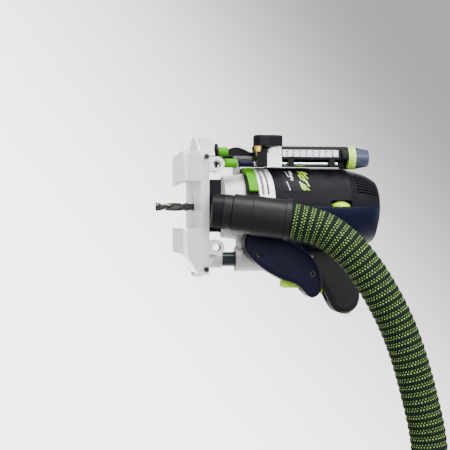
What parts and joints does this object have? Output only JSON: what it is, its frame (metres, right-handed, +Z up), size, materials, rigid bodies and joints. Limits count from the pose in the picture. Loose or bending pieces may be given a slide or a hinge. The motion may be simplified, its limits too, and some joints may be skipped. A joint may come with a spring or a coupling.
{
  "type": "plunge router",
  "caption": "Hand-held plunge router on two guide columns, with depth stop turret, clear chip hood, suction hose, speed dial and two pistol grips.",
  "frame": {"origin": "on the spindle axis at the underside of the running sole, the centre of its round opening", "axes": "+Z up along the spindle away from the work, +X towards the grips, -X towards the depth stop, -Y towards the suction port"},
  "size_m": [0.7845, 0.3929, 0.3099],
  "materials": {
    "cast_aluminium": "satin",
    "sole_plastic": "satin",
    "screw_steel": "satin",
    "dark_column": "gloss",
    "spring_steel": "satin",
    "clear_plastic": "gloss",
    "black_plastic": "satin",
    "connector_rubber": "matte",
    "hose_braid": "matte",
    "tie_webbing": "matte",
    "green_plastic": "gloss",
    "charcoal_plastic": "satin",
    "white_plastic": "satin",
    "navy_plastic": "satin",
    "charcoal_gloss": "gloss",
    "lamination_steel": "satin",
    "bearing_steel": "polished",
    "brush_brass": "satin",
    "spindle_steel": "satin",
    "black_rubber_grip": "matte",
    "commutator_copper": "satin",
    "fan_plastic": "satin",
    "nut_steel": "satin",
    "bit_carbide": "polished",
    "lime_plastic": "gloss",
    "clamp_brass": "satin",
    "scale_white": "satin",
    "pale_lime_plastic": "satin",
    "blue_grey_plastic": "satin",
    "rod_steel": "polished"
  },
  "bodies": {
    "base": {"base_casting": "cast_aluminium", "running_sole": "sole_plastic", "column_screws": "screw_steel", "guide_columns": "dark_column", "column_springs": "spring_steel", "chip_hood": "clear_plastic", "hood_screws": "screw_steel", "suction_port": "black_plastic", "hose_connector": "connector_rubber", "hose_tube": "hose_braid", "hose_coil": "hose_braid", "hose_end_connector": "connector_rubber", "coil_tie": "tie_webbing", "turret_mount": "black_plastic"},
    "connector_collar": {"connector_ring": "connector_rubber"},
    "turret": {"turret_disc": "black_plastic", "stop_caps": "green_plastic", "stop_screws": "screw_steel"},
    "carriage": {"carriage_casting": "cast_aluminium", "lock_collar": "charcoal_plastic", "vent_band": "white_plastic", "motor_housing": "charcoal_plastic", "end_cap": "charcoal_plastic", "side_cover": "navy_plastic", "label_plate": "charcoal_gloss", "stator": "lamination_steel", "lower_bearing": "bearing_steel", "upper_bearing": "bearing_steel", "bearing_bridge": "black_plastic", "brush_holders": "brush_brass", "near_grip_outer": "navy_plastic", "near_grip_inner": "navy_plastic", "lever_pin": "spindle_steel", "grip_screws": "screw_steel", "far_grip_front": "black_rubber_grip", "far_grip_back": "black_rubber_grip", "switch_module": "black_plastic", "depth_bracket": "black_plastic", "pointer_block": "white_plastic"},
    "spindle": {"armature": "lamination_steel", "spindle_shaft": "spindle_steel", "commutator": "commutator_copper", "cooling_fan": "fan_plastic", "collet": "spindle_steel", "collet_nut": "nut_steel", "router_bit": "bit_carbide"},
    "lock_rocker": {"spindle_lock_rocker": "green_plastic"},
    "dial": {"speed_dial": "lime_plastic"},
    "lock_lever": {"plunge_lock_lever": "lime_plastic"},
    "trigger": {"switch_trigger": "lime_plastic"},
    "button": {"lock_button": "lime_plastic"},
    "clamp": {"clamp_lever": "black_plastic", "clamp_screw": "clamp_brass"},
    "depth_slider": {"scale_housing": "black_plastic", "scale_strip": "scale_white"},
    "fine_adjuster": {"scale_ring": "pale_lime_plastic", "fine_knob": "blue_grey_plastic"},
    "depth_rod": {"stop_rod": "rod_steel", "rod_tip": "navy_plastic", "rod_pointers": "black_plastic"}
  },
  "joints": [
    {"name": "plunge", "type": "slide", "parent": "base", "child": "carriage", "axis": [0, 0, 1], "range_m": [-0.001, 0.052]},
    {"name": "connector_turn", "type": "hinge", "parent": "base", "child": "connector_collar", "pos_m": [0.005, -0.088, 0.012], "axis": [0.1276, -0.1856, 0.9743], "range_deg": [0, 30]},
    {"name": "turret_turn", "type": "hinge", "parent": "base", "child": "turret", "pos_m": [-0.0587, -0.028, 0.0245], "axis": [0, 0, 1], "continuous": true},
    {"name": "spindle_spin", "type": "hinge", "parent": "carriage", "child": "spindle", "pos_m": [0, 0, 0.05], "axis": [0, 0, 1], "continuous": true},
    {"name": "spindle_lock", "type": "hinge", "parent": "carriage", "child": "lock_rocker", "pos_m": [0, 0, 0.0665], "axis": [0, 0, 1], "range_deg": [-3, 3], "stiffness_Nm_per_rad": 0.8},
    {"name": "speed_setting", "type": "hinge", "parent": "carriage", "child": "dial", "pos_m": [-0.003, -0.038, 0.168], "axis": [1, 0, 0], "range_deg": [0, 270]},
    {"name": "plunge_lock", "type": "hinge", "parent": "carriage", "child": "lock_lever", "pos_m": [0.077, -0.062, 0.111], "axis": [0, 1, 0], "range_deg": [0, 7], "stiffness_Nm_per_rad": 2},
    {"name": "switch_pull", "type": "slide", "parent": "carriage", "child": "trigger", "axis": [0, 0, 1], "range_m": [0, 0.0055], "stiffness_N_per_m": 600},
    {"name": "lock_button_press", "type": "slide", "parent": "carriage", "child": "button", "axis": [-1, 0, 0], "range_m": [0, 0.003], "stiffness_N_per_m": 500},
    {"name": "depth_clamp", "type": "hinge", "parent": "carriage", "child": "clamp", "pos_m": [-0.075, -0.0345, 0.0718], "axis": [1, 0, 0], "range_deg": [0, 80]},
    {"name": "depth_slide", "type": "slide", "parent": "carriage", "child": "depth_slider", "axis": [0, 0, 1], "range_m": [0, 0.052]},
    {"name": "fine_turn", "type": "hinge", "parent": "depth_slider", "child": "fine_adjuster", "pos_m": [-0.0575, -0.024, 0.19], "axis": [0, 0, 1], "range_deg": [0, 2880]},
    {"name": "fine_travel", "type": "slide", "parent": "depth_slider", "child": "depth_rod", "axis": [0, 0, 1], "range_m": [0, 0.008]}
  ],
  "couplings": [
    {"joint": "fine_travel", "follows": "fine_turn", "m_per_rad": 0.00015915}
  ]
}
